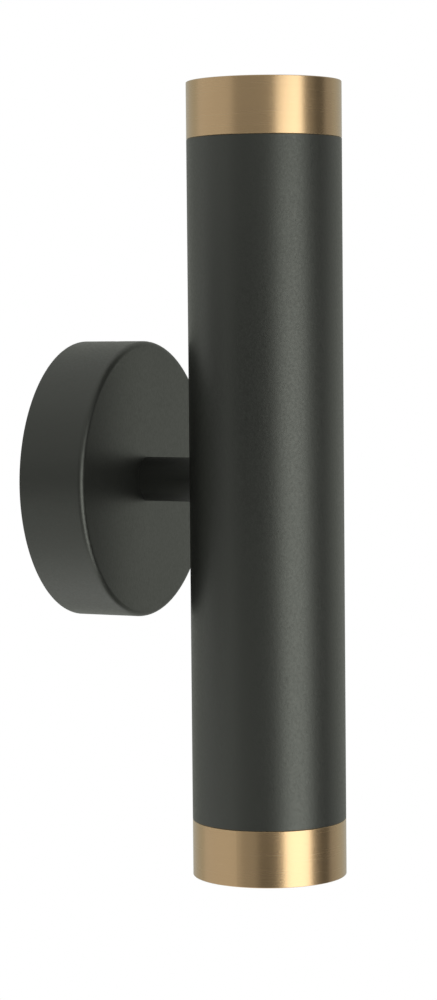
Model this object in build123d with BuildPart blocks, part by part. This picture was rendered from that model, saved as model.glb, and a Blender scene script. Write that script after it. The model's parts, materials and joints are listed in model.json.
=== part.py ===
from build123d import *
import os
from math import cos, radians, sin, sqrt, tan

# Wall spotlight that shines up and down: a coated tube with a brass ring on each end, carried by a
# short stem on a round canopy. The wall is the plane y = 0, the light stands out towards -Y, +Z is
# up, and the origin is on the wall behind the stem. Lengths are millimetres, angles are degrees.

# Lamp: a twist-lock reflector lamp, one at each end of the tube
LAMP_DIAMETER = 50.0
LAMP_LENGTH = 46.5
LAMP_BASE_DIAMETER = 29.0
LAMP_BASE_HEIGHT = 9.0
LAMP_RIM_HEIGHT = 5.0
LAMP_RIM_WALL = 1.6
LAMP_FLARE_BULGE = 1.6
LAMP_FLUTE_COUNT = 12
LAMP_FLUTE_WIDTH = 5.0
LAMP_FLUTE_MARGIN = 4.0
LENS_THICKNESS = 2.0
LENS_EDGE_ROUND = 0.8
LENS_FIT = 0.1
LENS_LEDGE = 1.2
REFLECTOR_WALL = 0.8
REFLECTOR_FLOOR = 24.0
REFLECTOR_SAGITTA = 4.0
CHIP_DIAMETER = 13.0
CHIP_THICKNESS = 1.2
CHIP_DOME_DIAMETER = 8.0
CHIP_DOME_HEIGHT = 0.8
CHIP_FIT = 0.1
PIN_COUNT = 2
PIN_SPACING = 10.0
PIN_DIAMETER = 3.0
PIN_LENGTH = 7.0
PIN_HEAD_DIAMETER = 5.0
PIN_HEAD_LENGTH = 2.6
TWIST_ANGLE = 40.0

# Tube and end rings, sized round the lamp that has to pass through them
LAMP_CLEARANCE = 0.5
LAMP_RECESS = 18.0
RING_HEIGHT = 20.0
RING_SPIGOT_WALL = 0.95
RING_SPIGOT_LENGTH = 10.0
RING_FIT = 0.05
TUBE_WALL = 1.0
TUBE_LENGTH = 242.0
EDGE_BREAK = 0.2

# Canopy and stem
CANOPY_DIAMETER = 100.0
CANOPY_DEPTH = 25.0
CANOPY_WALL = 1.2
CANOPY_EDGE_RADIUS = 1.5
STEM_DIAMETER = 16.0
STEM_LENGTH = 20.0
STEM_FIT = 0.05

# Hollow thread through canopy, stem and tube, with its nuts and washers
NIPPLE_DIAMETER = 10.0
NIPPLE_WALL = 1.0
NIPPLE_OVERRUN = 1.2
NIPPLE_FIT = 0.15
THREAD_FIT = 0.05
HEXAGON_SIDES = 6
NUT_ACROSS_FLATS = 14.0
NUT_HEIGHT = 4.0
WASHER_DIAMETER = 18.0
WASHER_THICKNESS = 1.0
WASHER_TEETH = 12
WASHER_TOOTH_LENGTH = 2.0
WASHER_TOOTH_GAP = 2.2
SADDLE_DIAMETER = 17.0
BUSH_WALL = 0.8
BUSH_LENGTH = 5.0
BUSH_FLANGE_DIAMETER = 11.0
BUSH_FLANGE_THICKNESS = 1.0

# Wall bracket
BRACKET_THICKNESS = 1.5
BRACKET_WIDTH = 22.0
BRACKET_BEND_RADIUS = 1.5
BRACKET_CLEARANCE = 0.4
BRACKET_TAB_MARGIN = 6.0
BRACKET_TAB_ROUND = 4.0
BRACKET_CENTRE_HOLE = 14.0
BRACKET_ARM_WIDTH = 18.0
BRACKET_ARM_ROUND = 5.0
BRACKET_ARM_MARGIN = 6.0
WALL_SCREW_SPACING = 60.0
WALL_SLOT_LENGTH = 12.0
WALL_SLOT_WIDTH = 4.5

# Screws that lock the canopy on the bracket, from above and below
CANOPY_SCREW_DIAMETER = 4.0
CANOPY_SCREW_LENGTH = 8.0
CANOPY_SCREW_OUT = 12.5
CANOPY_SCREW_FIT = 0.15
CANOPY_SCREW_RECESS = 0.3
CANOPY_SCREW_SOCKET = 2.0
CANOPY_SCREW_SOCKET_DEPTH = 2.2

# Terminal block
TERMINAL_POLES = 3
TERMINAL_PITCH = 10.0
TERMINAL_START = 17.0
TERMINAL_LENGTH = 18.0
TERMINAL_HEIGHT = 14.0
TERMINAL_AXIS = 6.0
TERMINAL_BARREL_WIDTH = 8.6
TERMINAL_BARREL_ROUND = 1.6
TERMINAL_WEB_HEIGHT = 5.0
TERMINAL_NOTCH_LENGTH = 4.0
TERMINAL_NOTCH_DEPTH = 4.0
TERMINAL_BORE = 5.2
TERMINAL_CLAMP_WALL = 0.7
TERMINAL_CLAMP_RECESS = 1.5
TERMINAL_SCREW_COUNT = 2
TERMINAL_SCREW_DIAMETER = 3.0
TERMINAL_SCREW_SPACING = 9.0
TERMINAL_SCREW_RECESS = 1.0
TERMINAL_SCREW_FIT = 0.3
TERMINAL_PEG_DIAMETER = 3.4
SCREW_SLOT_WIDTH = 0.7
SCREW_SLOT_DEPTH = 0.9

# Earth connection on the bracket's lower half
EARTH_DROP = 26.0
EARTH_SCREW_DIAMETER = 4.0
EARTH_SCREW_TIP = 0.2
EARTH_HEAD_DIAMETER = 8.0
EARTH_HEAD_HEIGHT = 2.6
EARTH_HEAD_ROUND = 1.3
EARTH_SLOT_LENGTH = 4.0
EARTH_WASHER_DIAMETER = 9.0
EARTH_WASHER_THICKNESS = 0.8
EARTH_HOLE_FIT = 0.15
LUG_DIAMETER = 8.4
LUG_THICKNESS = 0.8
LUG_NECK_WIDTH = 3.0
LUG_BARREL_START = 5.6
LUG_BARREL_LENGTH = 6.0
LUG_BARREL_WALL = 0.7
LUG_LEAD_INSET = 1.5
LUG_ANGLE = 50.0

# Lamp carrier: a bent strap clamped inside the tube
CARRIER_WIDTH = 18.0
CARRIER_THICKNESS = 1.5
CARRIER_BEND_RADIUS = 2.0
CARRIER_CLEARANCE = 0.8
CARRIER_MARGIN = 5.0

# Lampholder: ceramic, with keyhole slots and hidden arc pockets for the lamp's headed pins
LAMP_SEAT_GAP = 0.3
HOLDER_DIAMETER = 28.0
HOLDER_HEIGHT = 10.0
HOLDER_FACE_THICKNESS = 2.5
HOLDER_EDGE_ROUND = 1.0
HOLDER_TAIL_WIDTH = 20.0
HOLDER_TAIL_DEPTH = 13.0
HOLDER_TAIL_HEIGHT = 12.0
HOLDER_TAIL_ROUND = 3.0
HOLDER_TAIL_FIT = 0.3
HOLDER_LEAD_SPACING = 9.0
HOLDER_LEAD_DEPTH = 6.0
HOLDER_SCREW_COUNT = 2
HOLDER_SCREW_INSET = 4.0
HOLDER_SCREW_DIAMETER = 3.0
HOLDER_SCREW_HEAD_DIAMETER = 5.6
HOLDER_SCREW_SINK = 0.3
COUNTERSINK_ANGLE = 45.0
HOLDER_SCREW_FIT = 0.15
HOLDER_SCREW_OVERRUN = 2.5
PIN_FIT = 0.25
CONTACT_GAP = 0.3
CONTACT_THICKNESS = 0.6
CONTACT_LENGTH = 4.6
CONTACT_WIDTH = 3.0

# Leads inside the light
LEAD_DIAMETER = 2.0
LEAD_FIT = 0.3
LEAD_STRAIGHT = 4.0
LEAD_BEND_RADIUS = 12.0
LEAD_BEND_SHARE = 0.45
LEAD_CORE_DIAMETER = 1.2
LEAD_CORE_LENGTH = 7.0
EARTH_LEAD_SIDE = 16.0
EARTH_LEAD_BELOW = 8.0

# Diameters that follow from the lamp
ring_bore = LAMP_DIAMETER + 2 * LAMP_CLEARANCE
tube_bore = ring_bore + 2 * (RING_SPIGOT_WALL + RING_FIT)
tube_diameter = tube_bore + 2 * TUBE_WALL
nipple_bore = NIPPLE_DIAMETER - 2 * NIPPLE_WALL
bush_diameter = nipple_bore - 2 * THREAD_FIT
bush_bore = bush_diameter - 2 * BUSH_WALL
clamp_diameter = TERMINAL_BORE + 2 * TERMINAL_CLAMP_WALL

# Distances out from the wall
canopy_inner_out = CANOPY_DEPTH - CANOPY_WALL
canopy_nut_out = canopy_inner_out - WASHER_THICKNESS - NUT_HEIGHT
nipple_wall_end_out = canopy_nut_out - NIPPLE_OVERRUN
tube_axis_out = CANOPY_DEPTH + STEM_LENGTH + tube_diameter / 2
carrier_reach = sqrt((tube_bore / 2 - CARRIER_CLEARANCE) ** 2 - (CARRIER_WIDTH / 2) ** 2)
carrier_back_out = tube_axis_out - carrier_reach
carrier_front_out = carrier_back_out + CARRIER_THICKNESS
nipple_tube_end_out = carrier_front_out + NUT_HEIGHT + NIPPLE_OVERRUN
terminal_axis_out = BRACKET_THICKNESS + TERMINAL_AXIS
terminal_front_out = BRACKET_THICKNESS + TERMINAL_HEIGHT
lug_axis_out = BRACKET_THICKNESS + LEAD_DIAMETER / 2 + THREAD_FIT + LUG_BARREL_WALL
earth_head_out = BRACKET_THICKNESS + LUG_THICKNESS + EARTH_WASHER_THICKNESS

# Heights along the tube, from its middle to each end
mouth_height = TUBE_LENGTH / 2 + RING_HEIGHT
lamp_face_height = mouth_height - LAMP_RECESS
lamp_seat_height = lamp_face_height - LAMP_LENGTH
holder_face_height = lamp_seat_height - LAMP_SEAT_GAP
holder_seat_height = holder_face_height - HOLDER_HEIGHT
holder_end_height = holder_seat_height - HOLDER_TAIL_HEIGHT
pocket_depth = PIN_LENGTH - LAMP_SEAT_GAP + CONTACT_GAP + CONTACT_THICKNESS
holder_screw_offset = HOLDER_DIAMETER / 2 - HOLDER_SCREW_INSET
holder_hole_radius = HOLDER_SCREW_DIAMETER / 2 + HOLDER_SCREW_FIT
holder_sink_radius = HOLDER_SCREW_HEAD_DIAMETER / 2 + HOLDER_SCREW_FIT + HOLDER_SCREW_SINK

# Outline of the lamp: radius, and height along the tube
lens_radius = LAMP_DIAMETER / 2 - LAMP_RIM_WALL
bowl_radius = lens_radius - LENS_LEDGE
lens_seat = lamp_face_height - LENS_THICKNESS
bowl_floor = lamp_seat_height + REFLECTOR_FLOOR
flare_start = (LAMP_BASE_DIAMETER / 2, lamp_seat_height + LAMP_BASE_HEIGHT)
flare_end = (LAMP_DIAMETER / 2, lamp_face_height - LAMP_RIM_HEIGHT)
flare_slope = (flare_end[0] - flare_start[0]) / (flare_end[1] - flare_start[1])
flute_rise = LAMP_FLUTE_MARGIN * flare_slope
flute_low = (flare_start[0] + flute_rise, flare_start[1] + LAMP_FLUTE_MARGIN)
flute_high = (flare_end[0] - flute_rise, flare_end[1] - LAMP_FLUTE_MARGIN)

# Places behind the canopy
bracket_room = CANOPY_DIAMETER / 2 - CANOPY_WALL
bracket_half_span = sqrt(bracket_room**2 - (BRACKET_WIDTH / 2) ** 2) - BRACKET_CLEARANCE
bracket_tab_height = CANOPY_SCREW_OUT + BRACKET_TAB_MARGIN
bracket_arm_span = WALL_SCREW_SPACING + WALL_SLOT_LENGTH + 2 * BRACKET_ARM_MARGIN
terminal_middle = TERMINAL_START + TERMINAL_LENGTH / 2
pole_places = [(i - (TERMINAL_POLES - 1) / 2) * TERMINAL_PITCH for i in range(TERMINAL_POLES)]
web_places = [(a + b) / 2 for a, b in zip(pole_places, pole_places[1:])]
terminal_width = (TERMINAL_POLES - 1) * TERMINAL_PITCH + TERMINAL_BARREL_WIDTH
lead_spread = (bush_bore / 2 - LEAD_DIAMETER / 2 - LEAD_FIT) / sqrt(2)

# Each end of the tube has a plane at the tube's middle that faces out of that end's mouth
TUBE_MIDDLE = (0, -tube_axis_out, 0)
ENDS = {
    "top": Plane(TUBE_MIDDLE, x_dir=(1, 0, 0), z_dir=(0, 0, 1)),
    "bottom": Plane(TUBE_MIDDLE, x_dir=(-1, 0, 0), z_dir=(0, 0, -1)),
}
TWIST_PATH = CenterArc((0, 0), PIN_SPACING / 2, 0, TWIST_ANGLE)

os.makedirs("parts", exist_ok=True)


def write(piece, name):
    """Label a finished piece and write its file."""
    piece.part.label = name
    export_step(piece.part, f"parts/{name}.step")


def profile_plane(end):
    """The plane of a turned outline: radius across, height along the tube."""
    return Plane(end.origin, x_dir=end.x_dir, z_dir=-end.y_dir)


def tube_axis(end):
    """The line that everything at one end is turned about."""
    return Axis(end.origin, end.z_dir)


def bend_radius(before, corner, after):
    """The largest bend that both straight runs at a lead's corner leave room for."""
    run_in = Vector(*corner) - Vector(*before)
    run_out = Vector(*after) - Vector(*corner)
    half_turn = radians(run_in.get_angle(run_out)) / 2
    bend_run = LEAD_BEND_SHARE * min(run_in.length, run_out.length)
    return min(LEAD_BEND_RADIUS, bend_run / tan(half_turn))


def bend_radii(points):
    """One bend radius for each inner point of a lead's route."""
    return [bend_radius(*three) for three in zip(points, points[1:], points[2:])]


# Canopy: a turned cup, open to the wall, with a hole for the thread and screw holes above and below
with BuildPart() as canopy:
    with BuildSketch(Plane.XZ):
        Circle(CANOPY_DIAMETER / 2)
    extrude(amount=CANOPY_DEPTH)
    offset(amount=-CANOPY_WALL, openings=canopy.faces().sort_by(Axis.Y)[-1])
    fillet(canopy.faces().sort_by(Axis.Y)[0].edges(), CANOPY_EDGE_RADIUS)
    with BuildSketch(Plane.XZ.offset(CANOPY_DEPTH)):
        Circle(NIPPLE_DIAMETER / 2 + NIPPLE_FIT)
    extrude(amount=-CANOPY_WALL, mode=Mode.SUBTRACT)
    with BuildSketch():
        with Locations((0, -CANOPY_SCREW_OUT)):
            Circle(CANOPY_SCREW_DIAMETER / 2 + CANOPY_SCREW_FIT)
    extrude(amount=CANOPY_DIAMETER / 2, both=True, mode=Mode.SUBTRACT)
write(canopy, "canopy")

# Wall bracket: an upright strap with bent tabs, and an arm on each side for a wall screw
with BuildPart() as wall_bracket:
    with BuildSketch(Plane.YZ):
        with BuildLine():
            FilletPolyline(
                (-bracket_tab_height, -bracket_half_span),
                (0, -bracket_half_span),
                (0, bracket_half_span),
                (-bracket_tab_height, bracket_half_span),
                radius=BRACKET_BEND_RADIUS + BRACKET_THICKNESS,
            )
            offset(amount=BRACKET_THICKNESS, side=Side.LEFT)
        make_face()
    extrude(amount=BRACKET_WIDTH / 2, both=True)
    fillet(wall_bracket.edges().filter_by(Axis.Z).group_by(Axis.Y)[0], BRACKET_TAB_ROUND)
    with BuildSketch(Plane.XZ):
        RectangleRounded(bracket_arm_span, BRACKET_ARM_WIDTH, BRACKET_ARM_ROUND)
    extrude(amount=BRACKET_THICKNESS)
    with BuildSketch(Plane.XZ):
        Circle(BRACKET_CENTRE_HOLE / 2)
        with Locations((-WALL_SCREW_SPACING / 2, 0), (WALL_SCREW_SPACING / 2, 0)):
            SlotOverall(WALL_SLOT_LENGTH, WALL_SLOT_WIDTH)
        with Locations(*[(x, terminal_middle) for x in web_places]):
            Circle(TERMINAL_PEG_DIAMETER / 2 + THREAD_FIT)
        with Locations((0, -EARTH_DROP)):
            Circle(EARTH_SCREW_DIAMETER / 2 + THREAD_FIT)
    extrude(amount=BRACKET_THICKNESS, mode=Mode.SUBTRACT)
    with BuildSketch():
        with Locations((0, -CANOPY_SCREW_OUT)):
            Circle(CANOPY_SCREW_DIAMETER / 2 + THREAD_FIT)
    extrude(amount=CANOPY_DIAMETER / 2, both=True, mode=Mode.SUBTRACT)
write(wall_bracket, "wall_bracket")

# Canopy screws: headless, with a hexagon socket, threaded in the bracket's tabs
with BuildPart() as canopy_screws:
    for up in (-1, 1):
        screw_face = up * (CANOPY_DIAMETER / 2 - CANOPY_SCREW_RECESS)
        screw_plane = Plane((0, -CANOPY_SCREW_OUT, screw_face), z_dir=(0, 0, -up))
        with BuildSketch(screw_plane):
            Circle(CANOPY_SCREW_DIAMETER / 2)
        extrude(amount=CANOPY_SCREW_LENGTH)
        with BuildSketch(screw_plane):
            RegularPolygon(CANOPY_SCREW_SOCKET / 2, HEXAGON_SIDES, major_radius=False)
        extrude(amount=CANOPY_SCREW_SOCKET_DEPTH, mode=Mode.SUBTRACT)
write(canopy_screws, "canopy_screws")

# Terminal block: a moulded strip of barrels on a web, with pegs in the bracket's upper half
with BuildPart() as terminal_block:
    with BuildSketch(Plane.XY.offset(TERMINAL_START)) as section:
        with Locations(*[(x, -BRACKET_THICKNESS - TERMINAL_HEIGHT / 2) for x in pole_places]):
            Rectangle(TERMINAL_BARREL_WIDTH, TERMINAL_HEIGHT)
        fillet(section.vertices().group_by(Axis.Y)[0], TERMINAL_BARREL_ROUND)
        with Locations((0, -BRACKET_THICKNESS - TERMINAL_WEB_HEIGHT / 2)):
            Rectangle(terminal_width, TERMINAL_WEB_HEIGHT)
    extrude(amount=TERMINAL_LENGTH)
    with BuildSketch(Plane.XZ.offset(terminal_front_out)):
        with Locations((0, terminal_middle)):
            Rectangle(terminal_width, TERMINAL_NOTCH_LENGTH)
    extrude(amount=-TERMINAL_NOTCH_DEPTH, mode=Mode.SUBTRACT)
    with BuildSketch(Plane.XY.offset(TERMINAL_START)):
        with Locations(*[(x, -terminal_axis_out) for x in pole_places]):
            Circle(clamp_diameter / 2 + THREAD_FIT)
    extrude(amount=TERMINAL_LENGTH, mode=Mode.SUBTRACT)
    with BuildSketch(Plane.XZ.offset(terminal_front_out)):
        for x in pole_places:
            with Locations((x, terminal_middle)):
                with GridLocations(0, TERMINAL_SCREW_SPACING, 1, TERMINAL_SCREW_COUNT):
                    Circle(TERMINAL_SCREW_DIAMETER / 2 + TERMINAL_SCREW_FIT)
    extrude(amount=-(TERMINAL_HEIGHT - TERMINAL_AXIS), mode=Mode.SUBTRACT)
    with BuildSketch(Plane.XZ.offset(BRACKET_THICKNESS)):
        with Locations(*[(x, terminal_middle) for x in web_places]):
            Circle(TERMINAL_PEG_DIAMETER / 2)
    extrude(amount=-BRACKET_THICKNESS)
write(terminal_block, "terminal_block")

# Terminal clamps: brass sleeves in the barrels, tapped for two screws each
with BuildPart() as terminal_clamps:
    with BuildSketch(Plane.XY.offset(TERMINAL_START + TERMINAL_CLAMP_RECESS)):
        with Locations(*[(x, -terminal_axis_out) for x in pole_places]):
            Circle(clamp_diameter / 2)
            Circle(TERMINAL_BORE / 2, mode=Mode.SUBTRACT)
    extrude(amount=TERMINAL_LENGTH - 2 * TERMINAL_CLAMP_RECESS)
    with BuildSketch(Plane.XZ.offset(terminal_front_out)):
        for x in pole_places:
            with Locations((x, terminal_middle)):
                with GridLocations(0, TERMINAL_SCREW_SPACING, 1, TERMINAL_SCREW_COUNT):
                    Circle(TERMINAL_SCREW_DIAMETER / 2 + THREAD_FIT)
    extrude(amount=-(TERMINAL_HEIGHT - TERMINAL_AXIS), mode=Mode.SUBTRACT)
write(terminal_clamps, "terminal_clamps")

# Terminal screws: slotted, down to the copper of the leads
with BuildPart() as terminal_screws:
    head_out = terminal_front_out - TERMINAL_SCREW_RECESS
    tip_out = terminal_axis_out + lead_spread + LEAD_CORE_DIAMETER / 2 + THREAD_FIT
    for x in pole_places:
        with BuildSketch(Plane.XZ.offset(head_out)):
            with Locations((x, terminal_middle)):
                with GridLocations(0, TERMINAL_SCREW_SPACING, 1, TERMINAL_SCREW_COUNT):
                    Circle(TERMINAL_SCREW_DIAMETER / 2)
        extrude(amount=tip_out - head_out)
        with BuildSketch(Plane.XZ.offset(head_out)):
            with Locations((x, terminal_middle)):
                with GridLocations(0, TERMINAL_SCREW_SPACING, 1, TERMINAL_SCREW_COUNT):
                    Rectangle(TERMINAL_SCREW_DIAMETER, SCREW_SLOT_WIDTH)
        extrude(amount=-SCREW_SLOT_DEPTH, mode=Mode.SUBTRACT)
write(terminal_screws, "terminal_screws")

# Earth screw: a cross-slotted pan head, with the tip kept short of the wall
with BuildPart() as earth_screw:
    with BuildSketch(Plane.XZ.offset(EARTH_SCREW_TIP)):
        with Locations((0, -EARTH_DROP)):
            Circle(EARTH_SCREW_DIAMETER / 2)
    extrude(amount=earth_head_out - EARTH_SCREW_TIP)
    with BuildSketch(Plane.XZ.offset(earth_head_out)):
        with Locations((0, -EARTH_DROP)):
            Circle(EARTH_HEAD_DIAMETER / 2)
    extrude(amount=EARTH_HEAD_HEIGHT)
    fillet(earth_screw.faces().sort_by(Axis.Y)[0].edges(), EARTH_HEAD_ROUND)
    with BuildSketch(Plane.XZ.offset(earth_head_out + EARTH_HEAD_HEIGHT)):
        with Locations((0, -EARTH_DROP)):
            Rectangle(EARTH_SLOT_LENGTH, SCREW_SLOT_WIDTH)
            Rectangle(SCREW_SLOT_WIDTH, EARTH_SLOT_LENGTH)
    extrude(amount=-SCREW_SLOT_DEPTH, mode=Mode.SUBTRACT)
write(earth_screw, "earth_screw")

with BuildPart() as earth_washer:
    with BuildSketch(Plane.XZ.offset(BRACKET_THICKNESS + LUG_THICKNESS)):
        with Locations((0, -EARTH_DROP)):
            Circle(EARTH_WASHER_DIAMETER / 2)
            Circle(EARTH_SCREW_DIAMETER / 2 + EARTH_HOLE_FIT, mode=Mode.SUBTRACT)
    extrude(amount=EARTH_WASHER_THICKNESS)
write(earth_washer, "earth_washer")

# Earth lug: a flat ring under the washer, with a barrel crimped on the earth lead
lug_way = Vector(cos(radians(LUG_ANGLE)), 0, sin(radians(LUG_ANGLE)))
lug_plane = Plane((0, -BRACKET_THICKNESS, -EARTH_DROP), x_dir=lug_way, z_dir=(0, -1, 0))
lug_centre = Vector(0, -lug_axis_out, -EARTH_DROP)
lug_barrel_start = lug_centre + lug_way * LUG_BARREL_START
with BuildPart() as earth_lug:
    with BuildSketch(lug_plane):
        Circle(LUG_DIAMETER / 2)
        with Locations(((LUG_BARREL_START + LUG_BARREL_LENGTH / 2) / 2, 0)):
            Rectangle(LUG_BARREL_START + LUG_BARREL_LENGTH / 2, LUG_NECK_WIDTH)
        Circle(EARTH_SCREW_DIAMETER / 2 + EARTH_HOLE_FIT, mode=Mode.SUBTRACT)
    extrude(amount=LUG_THICKNESS)
    with BuildSketch(Plane(lug_barrel_start, z_dir=lug_way)):
        Circle(LEAD_DIAMETER / 2 + THREAD_FIT + LUG_BARREL_WALL)
    extrude(amount=LUG_BARREL_LENGTH)
    with BuildSketch(Plane(lug_barrel_start, z_dir=lug_way)):
        Circle(LEAD_DIAMETER / 2 + THREAD_FIT)
    extrude(amount=LUG_BARREL_LENGTH, mode=Mode.SUBTRACT)
write(earth_lug, "earth_lug")

# Stem: a turned sleeve whose far end is cut to the tube's curve
with BuildPart() as stem_sleeve:
    with BuildSketch(Plane.XZ.offset(CANOPY_DEPTH)):
        Circle(STEM_DIAMETER / 2)
        Circle(NIPPLE_DIAMETER / 2 + NIPPLE_FIT, mode=Mode.SUBTRACT)
    extrude(amount=STEM_LENGTH + tube_diameter / 2)
    with BuildSketch(ENDS["top"]):
        Circle(tube_diameter / 2 + STEM_FIT)
    extrude(amount=STEM_DIAMETER, both=True, mode=Mode.SUBTRACT)
write(stem_sleeve, "stem_sleeve")

# Threaded nipple: clamps canopy, stem, tube and lamp carrier together and carries the leads
with BuildPart() as threaded_nipple:
    with BuildSketch(Plane.XZ.offset(nipple_wall_end_out)):
        Circle(NIPPLE_DIAMETER / 2)
        Circle(nipple_bore / 2, mode=Mode.SUBTRACT)
    extrude(amount=nipple_tube_end_out - nipple_wall_end_out)
    chamfer(threaded_nipple.edges().filter_by(GeomType.CIRCLE).sort_by(SortBy.RADIUS)[-2:], EDGE_BREAK)
write(threaded_nipple, "threaded_nipple")

# Nuts: one in the canopy and one in the tube
for nut_name, nut_out in (("canopy_nut", canopy_nut_out), ("tube_nut", carrier_front_out)):
    with BuildPart() as nut:
        with BuildSketch(Plane.XZ.offset(nut_out)):
            RegularPolygon(NUT_ACROSS_FLATS / 2, HEXAGON_SIDES, major_radius=False)
            Circle(NIPPLE_DIAMETER / 2 + THREAD_FIT, mode=Mode.SUBTRACT)
        extrude(amount=NUT_HEIGHT)
    write(nut, nut_name)

# Tooth washer: keeps the nipple from turning in the canopy
with BuildPart() as canopy_tooth_washer:
    with BuildSketch(Plane.XZ.offset(canopy_inner_out - WASHER_THICKNESS)):
        Circle(WASHER_DIAMETER / 2)
        Circle(NIPPLE_DIAMETER / 2 + NIPPLE_FIT, mode=Mode.SUBTRACT)
        with PolarLocations(WASHER_DIAMETER / 2, WASHER_TEETH):
            Rectangle(2 * WASHER_TOOTH_LENGTH, WASHER_TOOTH_GAP, mode=Mode.SUBTRACT)
    extrude(amount=WASHER_THICKNESS)
write(canopy_tooth_washer, "canopy_tooth_washer")

# Saddle washer: fills the space between the tube's round wall and the flat carrier
with BuildPart() as saddle_washer:
    with BuildSketch(Plane.XZ.offset(carrier_back_out)):
        Circle(SADDLE_DIAMETER / 2)
        Circle(NIPPLE_DIAMETER / 2 + NIPPLE_FIT, mode=Mode.SUBTRACT)
    extrude(amount=-(tube_bore / 2 - carrier_reach))
    with BuildSketch(ENDS["top"]):
        Circle(tube_bore / 2 - STEM_FIT)
    extrude(amount=SADDLE_DIAMETER, both=True, mode=Mode.INTERSECT)
write(saddle_washer, "saddle_washer")

# Bushes: one pushed into each end of the nipple, to keep the leads off its edges
with BuildPart() as nipple_bushes:
    for bush_out, inward in ((nipple_wall_end_out, 1), (nipple_tube_end_out, -1)):
        with BuildSketch(Plane.XZ.offset(bush_out)):
            Circle(BUSH_FLANGE_DIAMETER / 2)
            Circle(bush_bore / 2, mode=Mode.SUBTRACT)
        extrude(amount=-inward * BUSH_FLANGE_THICKNESS)
        with BuildSketch(Plane.XZ.offset(bush_out)):
            Circle(bush_diameter / 2)
            Circle(bush_bore / 2, mode=Mode.SUBTRACT)
        extrude(amount=inward * BUSH_LENGTH)
write(nipple_bushes, "nipple_bushes")

# Tube, with the hole for the nipple at mid-height
with BuildPart() as tube:
    with BuildSketch(ENDS["top"]):
        Circle(tube_diameter / 2)
        Circle(tube_bore / 2, mode=Mode.SUBTRACT)
    extrude(amount=TUBE_LENGTH / 2, both=True)
    chamfer(tube.edges().filter_by(GeomType.CIRCLE).sort_by(SortBy.RADIUS)[-2:], EDGE_BREAK)
    with BuildSketch(Plane.XZ.offset(CANOPY_DEPTH + STEM_LENGTH)):
        Circle(NIPPLE_DIAMETER / 2 + NIPPLE_FIT)
    extrude(amount=tube_diameter / 2, mode=Mode.SUBTRACT)
write(tube, "tube")

# Lamp carrier: a strap along the tube's back, bent in at both ends to a plate for each lampholder
with BuildPart() as lamp_carrier:
    with BuildSketch(Plane.YZ):
        with BuildLine():
            FilletPolyline(
                (-tube_axis_out, -holder_seat_height),
                (-carrier_back_out, -holder_seat_height),
                (-carrier_back_out, holder_seat_height),
                (-tube_axis_out, holder_seat_height),
                radius=CARRIER_BEND_RADIUS + CARRIER_THICKNESS,
            )
            offset(amount=CARRIER_THICKNESS, side=Side.LEFT)
        make_face()
    extrude(amount=CARRIER_WIDTH / 2, both=True)
    for end in ENDS.values():
        with BuildSketch(end.offset(holder_seat_height)):
            Circle(HOLDER_DIAMETER / 2 + CARRIER_MARGIN)
        extrude(amount=-CARRIER_THICKNESS)
        with BuildSketch(end.offset(holder_seat_height)):
            RectangleRounded(
                HOLDER_TAIL_WIDTH + 2 * HOLDER_TAIL_FIT,
                HOLDER_TAIL_DEPTH + 2 * HOLDER_TAIL_FIT,
                HOLDER_TAIL_ROUND + HOLDER_TAIL_FIT,
            )
            with GridLocations(0, 2 * holder_screw_offset, 1, HOLDER_SCREW_COUNT):
                Circle(HOLDER_SCREW_DIAMETER / 2 + THREAD_FIT)
        extrude(amount=-CARRIER_THICKNESS, mode=Mode.SUBTRACT)
    with BuildSketch(Plane.XZ.offset(carrier_back_out)):
        Circle(NIPPLE_DIAMETER / 2 + NIPPLE_FIT)
    extrude(amount=CARRIER_THICKNESS, mode=Mode.SUBTRACT)
write(lamp_carrier, "lamp_carrier")

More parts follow.
